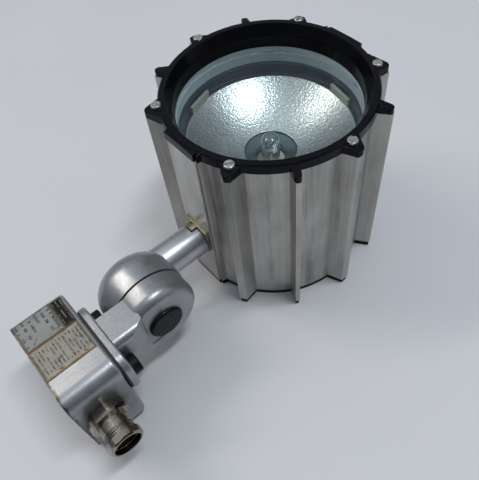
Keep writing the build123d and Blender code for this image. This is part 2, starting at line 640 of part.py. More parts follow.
GLASS_BOTTOM = BEZEL_SKIRT + GLASS_T
SEAL_BOTTOM = GLASS_BOTTOM + 1.5
SPACER_BOTTOM = 23.0
save(disc(head_plane(GLASS_BOTTOM), GLASS_R, 0, GLASS_T), "front_glass")
save(disc(head_plane(SEAL_BOTTOM), GLASS_R + 0.2, GLASS_SIGHT_R, 1.5), "glass_gasket")
save(disc(head_plane(SPACER_BOTTOM), GLASS_R + 0.2, GLASS_SIGHT_R + 0.2, SPACER_BOTTOM - SEAL_BOTTOM), "spacer_ring")

# ---------------------------------------------------------------- reflector and its ring
RING_BOTTOM = RIM_DEPTH + 1.6


def revolved(points):
    """Solid of revolution about the lamp axis from (radius, depth) corners."""
    with BuildPart() as body:
        with BuildSketch(Plane(origin=(HEAD_X, HEAD_Y, HEAD_TOP), x_dir=(1, 0, 0), z_dir=(0, -1, 0))):
            with BuildLine():
                Polyline(*[(r, -d) for r, d in points], close=True)
            make_face()
        revolve(axis=Axis((HEAD_X, HEAD_Y, 0), (0, 0, 1)))
    return body.part


reflector_ring = revolved([
    (GLASS_R + 0.2, SPACER_BOTTOM), (48.9, SPACER_BOTTOM), (48.3, SPACER_BOTTOM + 1), (48.1, RIM_DEPTH + 0.6),
    (46.6, RIM_DEPTH + 1.1), (46.6, RING_BOTTOM), (49.2, RING_BOTTOM), (49.8, SPACER_BOTTOM + 2.2),
    (GLASS_R + 0.2, SPACER_BOTTOM + 2.2),
])
save(reflector_ring, "reflector_ring")


def bowl_depth(radius):
    return RIM_DEPTH + (REFLECTOR_RIM_R ** 2 - radius ** 2) / (4 * REFLECTOR_FOCUS)


REFLECTOR_T = 0.8
FLANGE_R = REFLECTOR_RIM_R + 1.6
REFLECTOR_BOTTOM = bowl_depth(REFLECTOR_NECK_R)
with BuildPart() as reflector:
    with BuildSketch(Plane(origin=(HEAD_X, HEAD_Y, HEAD_TOP), x_dir=(1, 0, 0), z_dir=(0, -1, 0))):
        with BuildLine():
            mid = (REFLECTOR_RIM_R + REFLECTOR_NECK_R) / 2
            radii = (REFLECTOR_NECK_R, mid, REFLECTOR_RIM_R)
            inner = [(r, -bowl_depth(r)) for r in radii]
            outer_side = [(r, -bowl_depth(r) - REFLECTOR_T) for r in radii]
            ThreePointArc(*inner)
            Polyline(inner[2], (FLANGE_R, -RIM_DEPTH), (FLANGE_R, -RIM_DEPTH - 0.25), outer_side[2])
            ThreePointArc(outer_side[2], outer_side[1], outer_side[0])
            Line(outer_side[0], inner[0])
        make_face()
    revolve(axis=Axis((HEAD_X, HEAD_Y, 0), (0, 0, 1)))
save(reflector.part, "reflector")

CLIP_R = 46.2
clips = []
for angle in CLIP_ANGLES:
    x_axis = polar(1, angle)
    origin = (HEAD_X + polar(CLIP_R, angle)[0], HEAD_Y + polar(CLIP_R, angle)[1], HEAD_TOP - RIM_DEPTH)
    with BuildPart() as clip:
        with BuildSketch(Plane(origin=origin, x_dir=(x_axis[0], x_axis[1], 0), z_dir=(0, 0, 1))):
            Rectangle(1.8, 17.0)
        extrude(amount=4.6)
        fillet(clip.edges().filter_by(Axis.Z), 0.5)
    clips.append(clip.part)
save(Compound(children=clips), "reflector_clips")

# ---------------------------------------------------------------- lamp, holder and bracket
BULB_TIP, BULB_BASE = 35.5, 54.0
BULB_R = 5.4
with BuildPart() as bulb_glass:
    with BuildSketch(head_plane(BULB_BASE)):
        Circle(BULB_R)
    extrude(amount=BULB_BASE - BULB_TIP)
    fillet(bulb_glass.edges().filter_by(GeomType.CIRCLE).sort_by(Axis.Z)[-1], BULB_R * 0.75)
    with BuildSketch(head_plane(BULB_BASE)):
        Circle(BULB_R - 0.9)
    extrude(amount=BULB_BASE - BULB_TIP - 2.2, mode=Mode.SUBTRACT)
save(bulb_glass.part, "bulb_glass")

FILAMENT_DEPTH = 42.0
with BuildPart() as bulb_filament:
    with BuildSketch(Plane(origin=(HEAD_X - 2.6, HEAD_Y, HEAD_TOP - FILAMENT_DEPTH), z_dir=(1, 0, 0))):
        Circle(0.7)
    extrude(amount=5.2)
    with BuildSketch(head_plane(BULB_BASE)):
        with Locations((-2.6, 0), (2.6, 0)):
            Circle(0.4)
    extrude(amount=BULB_BASE - FILAMENT_DEPTH)
save(bulb_filament.part, "bulb_filament")

bulb_base = revolved([
    (0, BULB_BASE), (8.4, BULB_BASE), (8.4, BULB_BASE + 1.2), (6.2, BULB_BASE + 1.2),
    (6.2, BULB_BASE + 8), (0, BULB_BASE + 8),
])
save(bulb_base, "bulb_base")

COLLAR_DEPTH = REFLECTOR_BOTTOM + REFLECTOR_T + 0.4
bulb_collar = revolved([
    (14.8, COLLAR_DEPTH), (9.0, COLLAR_DEPTH + 1.6), (9.0, BULB_BASE + 2.6), (10.2, BULB_BASE + 2.6),
    (10.2, COLLAR_DEPTH + 2.6), (14.8, COLLAR_DEPTH + 1.2),
])
save(bulb_collar, "bulb_collar")

BRACKET_DEPTH = BULB_BASE + 2.6
with BuildPart() as lamp_bracket:
    with BuildSketch(head_plane(BRACKET_DEPTH + 1.5)):
        for angle in POST_ANGLES:
            fin(angle, 0, 44, 9, 5)
        Circle(16)
        Circle(6.6, mode=Mode.SUBTRACT)
        with Locations(*[polar(38, angle) for angle in POST_ANGLES]):
            Circle(2.1, mode=Mode.SUBTRACT)
    extrude(amount=1.5)
save(lamp_bracket.part, "lamp_bracket")

HOLDER_TOP = BRACKET_DEPTH + 1.5
lamp_holder = revolved([
    (6.5, HOLDER_TOP), (13.0, HOLDER_TOP), (13.0, HOLDER_TOP + 5), (10.5, HOLDER_TOP + 7),
    (10.5, HOLDER_TOP + 18), (0, HOLDER_TOP + 18), (0, BULB_BASE + 8.3), (6.5, BULB_BASE + 8.3),
])
save(lamp_holder, "lamp_holder")

post_depth = BRACKET_DEPTH + 1.5
posts = [
    disc(Plane(origin=(HEAD_X + polar(38, a)[0], HEAD_Y + polar(38, a)[1], HEAD_TOP - COVER_TOP)), 4.0, 1.6,
         COVER_TOP - post_depth)
    for a in POST_ANGLES
]
save(Compound(children=posts), "bracket_posts")

post_screws = []
for angle in POST_ANGLES:
    x, y = polar(38, angle)
    plane = Plane(origin=(HEAD_X + x, HEAD_Y + y, HEAD_TOP - BRACKET_DEPTH), x_dir=(1, 0, 0), z_dir=(0, 0, 1))
    post_screws.append(slotted_screw(plane, 3.2, 2.0, 1.5, 9, angle))
save(Compound(children=post_screws), "post_screws")

# ---------------------------------------------------------------- head wiring
BLOCK_TOP = 88.0
with BuildPart() as head_terminal:
    with BuildSketch(head_plane(COVER_TOP)):
        with Locations((0, -16)):
            Rectangle(22, 12)
    extrude(amount=COVER_TOP - BLOCK_TOP)
    fillet(head_terminal.edges().filter_by(Axis.Z), 1.0)
    with BuildSketch(head_plane(BLOCK_TOP)):
        with Locations((-5, -16), (5, -16)):
            Circle(2.2)
    extrude(amount=-5, mode=Mode.SUBTRACT)
save(head_terminal.part, "head_terminal")

terminal_tips = []
for side in (-1, 1):
    plane = Plane(origin=(HEAD_X + side * 5, HEAD_Y - 16, HEAD_TOP - BLOCK_TOP - 4), z_dir=(0, 0, 1))
    terminal_tips.append(slotted_screw(plane, 1.9, 1.4, 1.3, 0.9, 30))
save(Compound(children=terminal_tips), "head_terminal_screws")

leads = []
for side in (-1, 1):
    x = HEAD_X + side * 4
    start, end = HOLDER_TOP + 18, 94.0
    with BuildPart() as lead:
        with BuildLine():
            FilletPolyline(
                (x, HEAD_Y, HEAD_TOP - start), (x, HEAD_Y, HEAD_TOP - end), (x, HEAD_Y - 10, HEAD_TOP - end),
                radius=5,
            )
        with BuildSketch(Plane(origin=(x, HEAD_Y, HEAD_TOP - start), z_dir=(0, 0, -1))):
            Circle(1.1)
        sweep()
    leads.append(lead.part)
save(Compound(children=leads), "lamp_leads")

# ---------------------------------------------------------------- rear cover
with BuildPart() as rear_gasket:
    with BuildSketch(head_plane(COVER_TOP)):
        Circle(HOUSING_R - 0.8)
        Circle(HOUSING_BORE_R + 0.2, mode=Mode.SUBTRACT)
    extrude(amount=GASKET_T)
save(rear_gasket.part, "rear_gasket")



def cover_plane(angle):
    """Plane on the cover's underside at one of its screws, facing down."""
    x, y = polar(PORT_R, angle)
    return Plane(origin=(HEAD_X + x, HEAD_Y + y, TABLE_Z), x_dir=(1, 0, 0), z_dir=(0, 0, -1))


with BuildPart() as rear_cover:
    with BuildSketch(head_plane(HEAD_BOTTOM)):
        housing_outline(-0.5)
    extrude(amount=COVER_T)
    for angle in SCREW_ANGLES:
        with Locations(cover_plane(angle).location):
            CounterSinkHole(1.95, 3.4, COVER_T)
save(rear_cover.part, "rear_cover")

cover_screws = [countersunk_screw(cover_plane(angle), 3.2, PORT_HOLE_R - 0.05, 14) for angle in SCREW_ANGLES]
save(Compound(children=cover_screws), "rear_cover_screws")
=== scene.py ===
"""Looks of the machine work light: materials, finer reflector and filament, floor, camera, light.

Materials are painted in object coordinates, in metres. Sizes in MM units are millimetres.
"""
import json
import math

import bpy
from mathutils import Matrix, Vector, noise


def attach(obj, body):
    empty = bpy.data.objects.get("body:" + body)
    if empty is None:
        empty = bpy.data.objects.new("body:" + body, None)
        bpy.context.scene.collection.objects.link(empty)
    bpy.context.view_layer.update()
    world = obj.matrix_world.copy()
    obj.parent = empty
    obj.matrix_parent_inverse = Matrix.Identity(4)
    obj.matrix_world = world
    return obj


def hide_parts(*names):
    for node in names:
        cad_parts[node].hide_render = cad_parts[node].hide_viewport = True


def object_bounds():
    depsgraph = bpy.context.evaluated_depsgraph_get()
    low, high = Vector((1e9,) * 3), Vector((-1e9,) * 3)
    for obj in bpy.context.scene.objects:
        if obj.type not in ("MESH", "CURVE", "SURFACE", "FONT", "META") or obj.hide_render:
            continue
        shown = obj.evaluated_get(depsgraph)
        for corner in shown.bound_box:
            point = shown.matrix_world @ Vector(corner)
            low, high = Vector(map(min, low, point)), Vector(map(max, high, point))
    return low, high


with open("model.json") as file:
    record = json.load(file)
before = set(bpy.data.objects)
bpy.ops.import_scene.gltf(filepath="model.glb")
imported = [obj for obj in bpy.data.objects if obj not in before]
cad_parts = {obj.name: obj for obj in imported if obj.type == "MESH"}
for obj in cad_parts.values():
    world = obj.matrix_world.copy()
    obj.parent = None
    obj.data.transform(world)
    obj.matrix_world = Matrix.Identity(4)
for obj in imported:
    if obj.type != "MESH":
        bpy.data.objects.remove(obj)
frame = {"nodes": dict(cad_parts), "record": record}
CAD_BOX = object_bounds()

MM = 0.001                                      # one millimetre in Blender's metres
HEAD_X, HEAD_Y, HEAD_TOP = 168.5, 17.5, 86.0    # lamp axis and top of the bezel
GLAND_AT = (12.8, -30.0, 4.1)                   # where the cable gland meets the box
FLOOR_Z = CAD_BOX[0].z

scene = bpy.context.scene
MATERIALS = {}    # slot name: material, filled in by Graph


# ------------------------------------------------------------------ node graphs
class Graph:
    """A material's node tree, written as short calls that return output sockets."""

    def __init__(self, name, **sockets):
        self.material = bpy.data.materials.new(name)
        MATERIALS[name] = self.material
        self.material.use_nodes = True
        self.tree = self.material.node_tree
        self.tree.nodes.clear()
        self.out = self.tree.nodes.new("ShaderNodeOutputMaterial")
        self.shader = self.tree.nodes.new("ShaderNodeBsdfPrincipled")
        self.tree.links.new(self.shader.outputs[0], self.out.inputs["Surface"])
        for key, value in sockets.items():
            self.set(key.replace("_", " "), value)
        self.coords = self.tree.nodes.new("ShaderNodeTexCoord").outputs["Object"]

    def set(self, key, value):
        """A Principled socket: a number, a colour or the output that drives it."""
        socket = self.shader.inputs[key]
        if isinstance(value, bpy.types.NodeSocket):
            self.tree.links.new(value, socket)
        elif hasattr(value, "__len__") and len(value) == 3:
            socket.default_value = (*value, 1.0)
        else:
            socket.default_value = value

    def put(self, socket, value):
        """Any node's socket: a number, a vector, a colour or the output that drives it."""
        if isinstance(value, bpy.types.NodeSocket):
            self.tree.links.new(value, socket)
        elif isinstance(value, (tuple, list)) and len(value) == 3 and socket.type == "RGBA":
            socket.default_value = (*value, 1.0)
        else:
            socket.default_value = value

    def mapped(self, scale, location=(0, 0, 0), rotation=(0, 0, 0)):
        """Object coordinates stretched along each axis."""
        n = self.tree.nodes.new("ShaderNodeMapping")
        self.tree.links.new(self.coords, n.inputs["Vector"])
        n.inputs["Scale"].default_value = scale
        n.inputs["Location"].default_value = location
        n.inputs["Rotation"].default_value = rotation
        return n.outputs[0]

    def millimetres(self):
        return self.mapped((1 / MM, 1 / MM, 1 / MM))

    def noise(self, scale, detail=4.0, roughness=0.55, vector=None):
        n = self.tree.nodes.new("ShaderNodeTexNoise")
        self.tree.links.new(vector or self.coords, n.inputs["Vector"])
        n.inputs["Scale"].default_value = scale
        n.inputs["Detail"].default_value = detail
        n.inputs["Roughness"].default_value = roughness
        return n.outputs["Fac"]

    def cells(self, scale):
        n = self.tree.nodes.new("ShaderNodeTexVoronoi")
        self.tree.links.new(self.coords, n.inputs["Vector"])
        n.inputs["Scale"].default_value = scale
        return n.outputs["Distance"]

    def ramp(self, value, *stops):
        """A colour ramp with (position, grey or colour) stops."""
        n = self.tree.nodes.new("ShaderNodeValToRGB")
        self.tree.links.new(value, n.inputs[0])
        while len(n.color_ramp.elements) < len(stops):
            n.color_ramp.elements.new(0.5)
        for element, (at, colour) in zip(n.color_ramp.elements, stops):
            element.position = at
            if not hasattr(colour, "__len__"):
                colour = (colour,) * 3
            element.color = (*colour, 1.0)
        return n.outputs[0]

    def mix(self, factor, a, b, blend="MIX"):
        n = self.tree.nodes.new("ShaderNodeMix")
        n.data_type = "RGBA"
        n.blend_type = blend
        self.put(n.inputs[0], factor)
        self.put(n.inputs[6], a)
        self.put(n.inputs[7], b)
        return n.outputs[2]

    def math(self, operation, *values, clamp=False):
        n = self.tree.nodes.new("ShaderNodeMath")
        n.operation = operation
        n.use_clamp = clamp
        for socket, value in zip(n.inputs, values):
            self.put(socket, value)
        return n.outputs[0]

    def range(self, value, low, high, to_low=0.0, to_high=1.0):
        n = self.tree.nodes.new("ShaderNodeMapRange")
        for key, level in (("Value", value), ("From Min", low), ("From Max", high),
                           ("To Min", to_low), ("To Max", to_high)):
            self.put(n.inputs[key], level)
        return n.outputs[0]

    def product(self, *values):
        """Several factors multiplied together."""
        result = values[0]
        for value in values[1:]:
            result = self.math("MULTIPLY", result, value)
        return result

    def edges(self, radius, low=0.02, high=0.25):
        """1 along convex and concave edges, 0 on open faces."""
        bevel = self.tree.nodes.new("ShaderNodeBevel")
        bevel.samples = 6
        bevel.inputs["Radius"].default_value = radius
        geometry = self.tree.nodes.new("ShaderNodeNewGeometry")
        dot = self.tree.nodes.new("ShaderNodeVectorMath")
        dot.operation = "DOT_PRODUCT"
        self.tree.links.new(bevel.outputs[0], dot.inputs[0])
        self.tree.links.new(geometry.outputs["Normal"], dot.inputs[1])
        return self.range(self.math("SUBTRACT", 1.0, dot.outputs["Value"]), low, high)

    def crevice(self, distance):
        """1 in tight corners, 0 in the open."""
        n = self.tree.nodes.new("ShaderNodeAmbientOcclusion")
        n.samples = 8
        n.inputs["Distance"].default_value = distance
        return self.range(n.outputs["AO"], 0.35, 0.95, 1.0, 0.0)

    def axis(self, name, vector=None):
        n = self.tree.nodes.new("ShaderNodeSeparateXYZ")
        self.tree.links.new(vector or self.coords, n.inputs[0])
        return n.outputs[name]

    def normal_axis(self, name):
        coordinates = self.tree.nodes.new("ShaderNodeTexCoord")
        return self.axis(name, coordinates.outputs["Normal"])

    def blend(self, factor, first, second):
        """Two shaders mixed by a factor."""
        n = self.tree.nodes.new("ShaderNodeMixShader")
        for socket, output in zip(n.inputs, (factor, first, second)):
            self.tree.links.new(output, socket)
        return n.outputs[0]

    def bump(self, height, strength, distance):
        n = self.tree.nodes.new("ShaderNodeBump")
        self.tree.links.new(height, n.inputs["Height"])
        n.inputs["Strength"].default_value = strength
        n.inputs["Distance"].default_value = distance
        self.set("Normal", n.outputs[0])


# ------------------------------------------------------------------ materials
# colour of the painted shade that darkens the casting's corners
CORNER_SHADE = (0.07, 0.062, 0.052)
SOOT = (0.055, 0.048, 0.042)


def cast_silver():
    """Silver paint on a die casting: sparkle, orange peel, bare scuffed edges, patchy painted shade in
    corners.
    """
    g = Graph("cast_silver", Metallic=0.75)
    cloud = g.noise(38, 5)
    flake = g.noise(2600, 2, 0.7)
    base = g.ramp(cloud, (0.3, (0.30, 0.31, 0.325)), (0.7, (0.38, 0.39, 0.405)))
    base = g.mix(0.35, base, g.ramp(flake, (0.35, 0.22), (0.65, 0.95)), "OVERLAY")
    worn = g.product(g.edges(0.0011), g.ramp(g.noise(160, 6, 0.65), (0.42, 0.0), (0.60, 1.0)))
    base = g.mix(worn, base, (0.60, 0.60, 0.59))
    speck = g.ramp(g.noise(420, 3, 0.6), (0.70, 0.0), (0.74, 1.0))
    base = g.mix(g.product(speck, 0.55), base, (0.12, 0.11, 0.10))
    # painted shade: ambient occlusion darkens the corners, in patches
    corner_shade = g.product(g.crevice(0.004), g.ramp(g.noise(120, 5), (0.30, 0.25), (0.7, 1.0)))
    base = g.mix(g.product(corner_shade, 0.75), base, CORNER_SHADE)
    # brown stain along the rim by the back plate
    x = g.axis("X", g.millimetres())
    ragged_x = g.math("ADD", x, g.product(g.noise(210, 5, 0.65), 5.0))
    rim = g.range(ragged_x, 3.0, 4.2, 1.0, 0.0)
    stain = g.ramp(g.noise(400, 4), (0.4, (0.03, 0.024, 0.018)), (0.65, (0.16, 0.12, 0.075)))
    base = g.mix(g.product(rim, 0.85), base, stain)
    # soot round the cable gland
    reach = g.tree.nodes.new("ShaderNodeVectorMath")
    reach.operation = "DISTANCE"
    g.tree.links.new(g.millimetres(), reach.inputs[0])
    reach.inputs[1].default_value = GLAND_AT
    ragged_reach = g.math("ADD", reach.outputs["Value"], g.product(g.noise(95, 5, 0.65), 22.0))
    soot = g.range(ragged_reach, 20.0, 34.0, 1.0, 0.0)
    base = g.mix(g.product(soot, 0.72), base, SOOT)
    scuff = g.ramp(g.noise(1.0, 5, 0.7, g.mapped((60, 320, 320))), (0.60, 0.0), (0.66, 1.0))
    base = g.mix(g.product(scuff, 0.30), base, (0.16, 0.15, 0.14))
    g.set("Base Color", base)
    rough = g.range(g.noise(210, 5, 0.6), 0.3, 0.7, 0.30, 0.40)
    g.set("Roughness", g.math("ADD", rough, g.product(corner_shade, 0.2), clamp=True))
    g.bump(g.math("ADD", g.product(g.noise(900, 3), 0.6), g.product(flake, 0.25)), 0.16, 0.00025)


def brushed(name, colours, axis_scale, rough=(0.24, 0.42), streak=0.35, dirt=(0.1, 0.09, 0.08),
            dirt_amount=0.4, bump=0.08):
    """Bare metal with lines along one direction, cloudy colour and darker smears."""
    g = Graph(name, Metallic=1.0)
    lines = g.noise(1.0, 3, 0.6, g.mapped(axis_scale))
    wide = g.noise(1.0, 4, 0.6, g.mapped(tuple(s * 0.16 for s in axis_scale)))
    base = g.ramp(g.noise(30, 4), (0.3, colours[0]), (0.7, colours[1]))
    base = g.mix(streak, base, g.ramp(lines, (0.3, 0.25), (0.7, 0.8)), "OVERLAY")
    smear = g.product(g.ramp(wide, (0.48, 0.0), (0.68, 1.0)), dirt_amount)
    base = g.mix(smear, base, dirt)
    # painted highlight: every edge lightened towards a brighter tone
    bright = tuple(min(1.0, c * 1.3) for c in colours[1])
    g.set("Base Color", g.mix(g.product(g.edges(0.0006), 0.35), base, bright))
    polish = g.range(lines, 0.3, 0.7, *rough)
    g.set("Roughness", g.math("ADD", polish, g.product(smear, 0.25), clamp=True))
    g.bump(g.math("ADD", lines, g.product(wide, 0.6)), bump, 0.0003)


def extrusion():
    """Raw extruded aluminium: die lines along the length, oxide clouds and dark rubbed smears."""
    g = Graph("extrusion", Metallic=0.92)
    fine = g.noise(1.0, 3, 0.65, g.mapped((2400, 2400, 6)))
    line = g.noise(1.0, 3, 0.6, g.mapped((620, 620, 3)))
    band = g.noise(1.0, 4, 0.6, g.mapped((110, 110, 7), (3.1, 1.7, 0.4)))
    cloud = g.noise(1.0, 5, 0.6, g.mapped((55, 55, 26)))
    base = g.ramp(cloud, (0.30, (0.35, 0.34, 0.322)), (0.55, (0.45, 0.437, 0.415)),
                  (0.75, (0.52, 0.507, 0.485)))
    base = g.mix(0.22, base, g.ramp(fine, (0.3, 0.32), (0.7, 0.72)), "OVERLAY")
    base = g.mix(0.16, base, g.ramp(line, (0.32, 0.25), (0.68, 0.75)), "OVERLAY")
    smear = g.product(g.ramp(band, (0.50, 0.0), (0.70, 1.0)), g.ramp(cloud, (0.35, 1.0), (0.65, 0.25)))
    base = g.mix(g.product(smear, 0.62), base, (0.13, 0.12, 0.11))
    fleck = g.ramp(g.noise(700, 4, 0.6), (0.69, 0.0), (0.73, 1.0))
    base = g.mix(g.product(fleck, 0.6), base, (0.08, 0.075, 0.07))
    # painted highlight: edges lightened towards near white
    g.set("Base Color", g.mix(g.product(g.edges(0.0007), 0.5), base, (0.82, 0.81, 0.79)))
    rough = g.range(fine, 0.3, 0.7, 0.27, 0.40)
    g.set("Roughness", g.math("ADD", rough, g.product(smear, 0.22), clamp=True))
    g.bump(g.math("ADD", g.product(fine, 0.5), line), 0.12, 0.00020)


def gloss_black(name, rough=(0.10, 0.22)):
    """Black enamel: slight orange peel, dust specks, fine scratches, edges rubbed brown-grey."""
    g = Graph(name, IOR=1.42, Specular_IOR_Level=0.15)
    cloud = g.noise(45, 4)
    dust = g.ramp(g.noise(1500, 3, 0.7), (0.66, 0.0), (0.72, 1.0))
    base = g.ramp(cloud, (0.3, (0.003, 0.003, 0.0045)), (0.7, (0.006, 0.006, 0.008)))
    base = g.mix(g.product(dust, 0.04), base, (0.20, 0.20, 0.20))
    worn = g.product(g.edges(0.0005, 0.08, 0.3), g.ramp(g.noise(240, 5, 0.6), (0.56, 0.0), (0.64, 1.0)))
    g.set("Base Color", g.mix(g.product(worn, 0.6), base, (0.30, 0.29, 0.28)))
    hair = g.noise(1.0, 2, 0.5, g.mapped((900, 60, 300), rotation=(0.4, 0.2, 0.7)))
    g.set("Roughness", g.range(g.math("ADD", cloud, g.product(hair, 0.3)), 0.4, 0.9, *rough))
    g.bump(g.math("ADD", g.noise(420, 2), g.product(hair, 0.2)), 0.03, 0.0002)


def plain(name, colours, rough, metallic=0.0, grain=600, bump=0.12, crevice=0.5, **sockets):
    """A moulded, painted or plated surface with grain, cloudy colour, a painted highlight along its
    edges, painted shade in its corners.
    """
    g = Graph(name, Metallic=metallic, **sockets)
    texture = g.noise(grain, 4, 0.6)
    base = g.ramp(g.noise(70, 5), (0.3, colours[0]), (0.7, colours[1]))
    base = g.mix(0.25, base, g.ramp(texture, (0.3, 0.3), (0.7, 0.7)), "OVERLAY")
    # painted highlight: every edge lightened towards a brighter tone
    bright = tuple(min(1.0, c * 1.35 + 0.02) for c in colours[1])
    base = g.mix(g.product(g.edges(0.0005), 0.35), base, bright)
    # painted shade: ambient occlusion darkens the corners by the crevice amount
    g.set("Base Color", g.mix(g.product(g.crevice(0.0025), crevice), base, (0.05, 0.045, 0.04)))
    g.set("Roughness", g.range(texture, 0.3, 0.7, *rough))
    g.bump(texture, bump, 0.0003)


def reflector():
    """Hammered bright aluminium: fine grain on top of the pebbles that the mesh carries; grain and
    pebble cells also darken the colour as painted sparkle and crease shade.
    """
    g = Graph("reflector_silver", Metallic=1.0)
    pebble = g.cells(1300)
    grain = g.noise(1900, 2, 0.6)
    base = g.ramp(g.noise(60, 3), (0.3, (0.84, 0.855, 0.88)), (0.7, (0.92, 0.93, 0.94)))
    # painted sparkle and shade: grain darkens the colour in specks, pebble cells darken towards their
    # creases
    base = g.mix(0.85, base, g.ramp(grain, (0.38, 0.35), (0.53, 1.0)), "MULTIPLY")
    g.set("Base Color", g.mix(0.5, base, g.ramp(pebble, (0.15, 1.0), (0.6, 0.6)), "MULTIPLY"))
    g.set("Roughness", g.range(grain, 0.40, 0.60, 0.36, 0.28))
    g.bump(g.math("ADD", pebble, g.product(grain, 0.5)), 0.30, 0.0002)


def clear(name, tint, rough, gloss=1.0, rim=None):
    """Thin clear glass: lets light straight through and mirrors a little, with faint dust.

    rim gives two colours for the ground edge of a flat pane.
    """
    g = Graph(name)
    nodes, links = g.tree.nodes, g.tree.links
    nodes.remove(g.shader)
    through = nodes.new("ShaderNodeBsdfTransparent")
    through.inputs["Color"].default_value = (*tint, 1.0)
    shine = nodes.new("ShaderNodeBsdfGlossy")
    shine.inputs["Color"].default_value = (1.0, 1.0, 1.0, 1.0)
    links.new(g.range(g.noise(220, 4), 0.3, 0.7, *rough), shine.inputs["Roughness"])
    facing = nodes.new("ShaderNodeLayerWeight").outputs["Facing"]
    grazing = g.product(g.math("POWER", facing, 4.0), 0.75)
    smudge = g.ramp(g.noise(45, 5, 0.6), (0.45, 0.02), (0.8, 0.05))
    mirrored = g.math("MULTIPLY", g.math("ADD", grazing, smudge), gloss, clamp=True)
    surface = g.blend(mirrored, through.outputs[0], shine.outputs[0])
    if rim is not None:
        ground = nodes.new("ShaderNodeBsdfDiffuse")
        links.new(g.ramp(g.noise(160, 5), (0.3, rim[0]), (0.7, rim[1])), ground.inputs["Color"])
        side = g.range(g.math("ABSOLUTE", g.normal_axis("Z")), 0.3, 0.6, 1.0, 0.0)
        surface = g.blend(side, surface, ground.outputs[0])
    links.new(surface, g.out.inputs["Surface"])


def label(name, paper, ink, rows, seed, span, fill, bold, word, tape=(0.0, 0.0), sheen=0.4):
    """A printed leaf: rows of plain bars along Y, stained edges, old tape and rubbed spots.

    span is ((x0, x1), (y0, y1)) in millimetres. fill is the share of the places that carry a bar,
    bold the bar's height, word its shortness, and tape how wide the tape is at each Y edge.
    """
    (x0, x1), (y0, y1) = span
    g = Graph(name, Specular_IOR_Level=sheen)
    unit = g.millimetres()
    x, y = g.axis("X", unit), g.axis("Y", unit)
    # bars
    u = g.range(x, x0, x1, 0.0, rows)
    row = g.math("FLOOR", u)
    across = g.math("FRACT", u)
    in_row = g.product(g.math("GREATER_THAN", across, 0.5 - 0.22 * bold),
                       g.math("LESS_THAN", across, 0.5 + 0.22 * bold))
    along = g.math("ADD", g.product(y, word), g.product(row, 3.37))
    place = g.tree.nodes.new("ShaderNodeCombineXYZ")
    for socket, value in zip(place.inputs, (row, g.math("FLOOR", along), float(seed))):
        g.put(socket, value)
    chance = g.tree.nodes.new("ShaderNodeTexWhiteNoise")
    g.tree.links.new(place.outputs[0], chance.inputs["Vector"])
    on = g.product(g.math("LESS_THAN", chance.outputs["Value"], fill),
                   g.math("LESS_THAN", g.math("FRACT", along), 0.86))
    margin = g.product(g.math("GREATER_THAN", y, y0 + tape[0] + 0.9),
                       g.math("LESS_THAN", y, y1 - tape[1] - 0.9),
                       g.math("GREATER_THAN", x, x0 + 0.8), g.math("LESS_THAN", x, x1 - 0.6))
    bars = g.product(in_row, on, margin, g.ramp(g.noise(420, 4, 0.6), (0.35, 0.35), (0.6, 0.95)))
    cloud = g.noise(150, 5, 0.6)
    base = g.mix(bars, g.ramp(cloud, (0.3, paper[0]), (0.7, paper[1])), ink)
    # yellowed tape with a dark outer rim
    ragged = g.product(g.noise(330, 5, 0.65), 1.6)
    low, high = g.math("SUBTRACT", y, y0), g.math("SUBTRACT", y1, y)
    yellow = g.ramp(cloud, (0.35, (0.36, 0.27, 0.14)), (0.7, (0.52, 0.43, 0.27)))
    patchy = g.ramp(g.noise(190, 4), (0.38, 0.2), (0.55, 1.0))
    for inset, width in ((low, tape[0]), (high, tape[1])):
        if width:
            depth = g.math("ADD", inset, ragged)
            band = g.range(depth, width + 0.7, width + 1.0, 1.0, 0.0)
            base = g.mix(g.product(band, 0.85), base, yellow)
            rim = g.product(g.range(depth, 1.1, 1.6, 1.0, 0.0), patchy)
            base = g.mix(rim, base, (0.055, 0.035, 0.018))
    # dirt along every edge and in spots
    inset = g.math("MINIMUM", g.math("MINIMUM", g.math("SUBTRACT", x, x0), g.math("SUBTRACT", x1, x)),
                   g.math("MINIMUM", low, high))
    torn_inset = g.math("ADD", inset, g.product(g.noise(260, 5, 0.65), 3.0))
    edge = g.range(torn_inset, 2.0, 3.1, 1.0, 0.0)
    base = g.mix(g.product(edge, 0.85), base, (0.075, 0.055, 0.032))
    spots = g.ramp(g.noise(260, 6, 0.7), (0.59, 0.0), (0.64, 1.0))
    g.set("Base Color", g.mix(g.product(spots, 0.75), base, (0.03, 0.026, 0.022)))
    g.set("Roughness", g.range(cloud, 0.3, 0.7, 0.32, 0.55))
    g.bump(g.math("ADD", g.noise(520, 4), g.product(edge, 0.6)), 0.12, 0.00012)


# castings, extrusion and sheet
cast_silver()
extrusion()
brushed("tube_satin", ((0.46, 0.48, 0.51), (0.54, 0.56, 0.59)), (2600, 260, 260), (0.34, 0.42),
        streak=0.10, dirt=(0.2, 0.19, 0.18), dirt_amount=0.12, bump=0.012)
brushed("plate_aluminium", ((0.50, 0.50, 0.51), (0.62, 0.62, 0.62)), (200, 60, 1200), (0.30, 0.48))
plain("stop_zinc", ((0.24, 0.22, 0.15), (0.44, 0.41, 0.30)), (0.30, 0.46), 0.7, crevice=0.85)
brushed("bracket_steel", ((0.46, 0.46, 0.47), (0.56, 0.56, 0.57)), (700, 700, 300))
